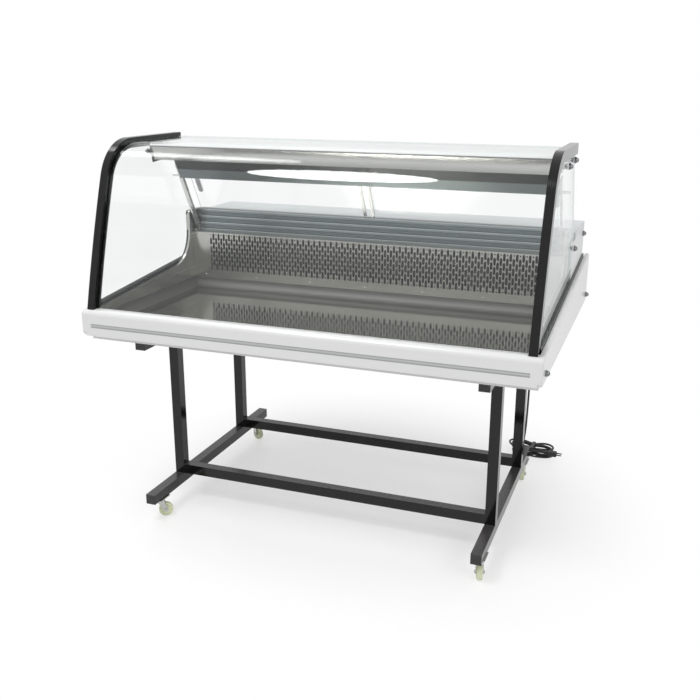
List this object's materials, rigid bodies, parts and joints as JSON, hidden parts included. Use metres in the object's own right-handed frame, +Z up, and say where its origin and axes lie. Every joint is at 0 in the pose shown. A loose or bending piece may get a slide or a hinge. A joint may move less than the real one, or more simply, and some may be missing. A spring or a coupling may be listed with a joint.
{
  "type": "refrigerated display case",
  "caption": "Counter display case with bent front glass, sliding rear doors, perforated back grille, white bumper and ends, on a black tube stand with swivel castors.",
  "frame": {"origin": "centre of the bounding box on the floor, cord left out", "axes": "+X along the length, right seen by the customer; +Y to the operator side; +Z up"},
  "size_m": [1.5262, 1.1969, 1.308],
  "materials": {
    "stand_black": "gloss black enamel",
    "cap_black": "black moulded plastic",
    "zinc": "zinc plated steel",
    "wheel_nylon": "pale nylon",
    "body_white": "white moulded skin over foam",
    "stainless": "satin stainless sheet",
    "strip_grey": "grey insert strip",
    "rubber_black": "black rubber",
    "clear_glass": "clear toughened glass",
    "anodised": "satin anodised aluminium",
    "track_grey": "blue grey anodised aluminium",
    "bright_metal": "polished metal",
    "lamp_white": "white lamp plastic",
    "worktop_grey": "light grey coated steel",
    "rear_grey": "grey coated steel",
    "foam_white": "insulated wall",
    "coil_metal": "finned coil",
    "pump_black": "black painted steel",
    "control_black": "black control plastic",
    "copper": "copper tube",
    "cord_black": "black flexible cord"
  },
  "bodies": {
    "case": {"foot_rails": "stand_black", "stand_posts": "stand_black", "long_rails": "stand_black", "top_rails": "stand_black", "tube_caps": "cap_black", "castor_seats": "zinc", "base_tub": "body_white", "deck_pan": "stainless", "front_bumper": "body_white", "bumper_strip": "strip_grey", "end_panel_left": "body_white", "end_panel_right": "body_white", "side_liners": "stainless", "liner_seals": "rubber_black", "front_glass": "clear_glass", "side_glass_left": "clear_glass", "side_glass_right": "clear_glass", "corner_gasket_left": "rubber_black", "corner_gasket_right": "rubber_black", "canopy_housing": "anodised", "canopy_ends": "cap_black", "lamp_bar": "lamp_white", "lamp_diffuser": "lamp_white", "door_top_track": "track_grey", "door_struts": "bright_metal", "sill_track": "track_grey", "back_grille": "stainless", "worktop": "worktop_grey", "rear_end_plates": "rear_grey", "rear_panel": "rear_grey", "control_panel": "control_black", "cap_nuts": "bright_metal", "partition": "foam_white", "evaporator_coil": "coil_metal", "fan_motors": "pump_black", "compressor": "pump_black", "condenser": "coil_metal", "refrigerant_lines": "copper", "cord_gland": "cap_black", "cord_lead": "cord_black", "cord_hank": "cord_black", "cord_tie": "cap_black", "cord_plug": "cord_black"},
    "fork_fl": {"castor_fork_fl": "zinc"},
    "wheel_fl": {"castor_wheel_fl": "wheel_nylon"},
    "fork_fr": {"castor_fork_fr": "zinc"},
    "wheel_fr": {"castor_wheel_fr": "wheel_nylon"},
    "fork_rl": {"castor_fork_rl": "zinc"},
    "wheel_rl": {"castor_wheel_rl": "wheel_nylon"},
    "fork_rr": {"castor_fork_rr": "zinc"},
    "wheel_rr": {"castor_wheel_rr": "wheel_nylon"},
    "door_left": {"door_left": "clear_glass", "door_trim_left": "anodised"},
    "door_right": {"door_right": "clear_glass", "door_trim_right": "anodised"},
    "rocker": {"power_rocker": "control_black"},
    "knob": {"thermostat_knob": "control_black"},
    "cool_fan_left": {"evaporator_fan_left": "control_black"},
    "cool_fan_right": {"evaporator_fan_right": "control_black"},
    "heat_fan": {"condenser_fan": "control_black"}
  },
  "joints": [
    {"name": "swivel_fl", "type": "hinge", "parent": "case", "child": "fork_fl", "pos_m": [-0.5775, -0.412, 0.062], "axis": [0, 0, 1], "continuous": true},
    {"name": "roll_fl", "type": "hinge", "parent": "fork_fl", "child": "wheel_fl", "pos_m": [-0.5624, -0.4022, 0.025], "axis": [-0.5446, 0.8387, 0], "continuous": true},
    {"name": "swivel_fr", "type": "hinge", "parent": "case", "child": "fork_fr", "pos_m": [0.5775, -0.412, 0.062], "axis": [0, 0, 1], "continuous": true},
    {"name": "roll_fr", "type": "hinge", "parent": "fork_fr", "child": "wheel_fr", "pos_m": [0.58216, -0.42939, 0.025], "axis": [0.9659, 0.2588, 0], "continuous": true},
    {"name": "swivel_rl", "type": "hinge", "parent": "case", "child": "fork_rl", "pos_m": [-0.5775, 0.358, 0.062], "axis": [0, 0, 1], "continuous": true},
    {"name": "roll_rl", "type": "hinge", "parent": "fork_rl", "child": "wheel_rl", "pos_m": [-0.56191, 0.349, 0.025], "axis": [0.5, 0.866, 0], "continuous": true},
    {"name": "swivel_rr", "type": "hinge", "parent": "case", "child": "fork_rr", "pos_m": [0.5775, 0.358, 0.062], "axis": [0, 0, 1], "continuous": true},
    {"name": "roll_rr", "type": "hinge", "parent": "fork_rr", "child": "wheel_rr", "pos_m": [0.58063, 0.34027, 0.025], "axis": [0.9848, 0.1736, 0], "continuous": true},
    {"name": "slide_left", "type": "slide", "parent": "case", "child": "door_left", "axis": [1, 0, 0], "range_m": [0, 0.66]},
    {"name": "slide_right", "type": "slide", "parent": "case", "child": "door_right", "axis": [1, 0, 0], "range_m": [-0.66, 0]},
    {"name": "rocker_tip", "type": "hinge", "parent": "case", "child": "rocker", "pos_m": [0.435, 0.493, 0.92], "axis": [1, 0, 0], "range_deg": [-16, 0]},
    {"name": "knob_turn", "type": "hinge", "parent": "case", "child": "knob", "pos_m": [0.51, 0.49, 0.92], "axis": [0, 1, 0], "range_deg": [0, 270]},
    {"name": "spin_left", "type": "hinge", "parent": "case", "child": "cool_fan_left", "pos_m": [-0.3, 0.15, 0.85], "axis": [0, 1, 0], "continuous": true},
    {"name": "spin_right", "type": "hinge", "parent": "case", "child": "cool_fan_right", "pos_m": [0.3, 0.15, 0.85], "axis": [0, 1, 0], "continuous": true},
    {"name": "spin_condenser", "type": "hinge", "parent": "case", "child": "heat_fan", "pos_m": [0.072, 0.405, 0.8], "axis": [1, 0, 0], "continuous": true}
  ]
}
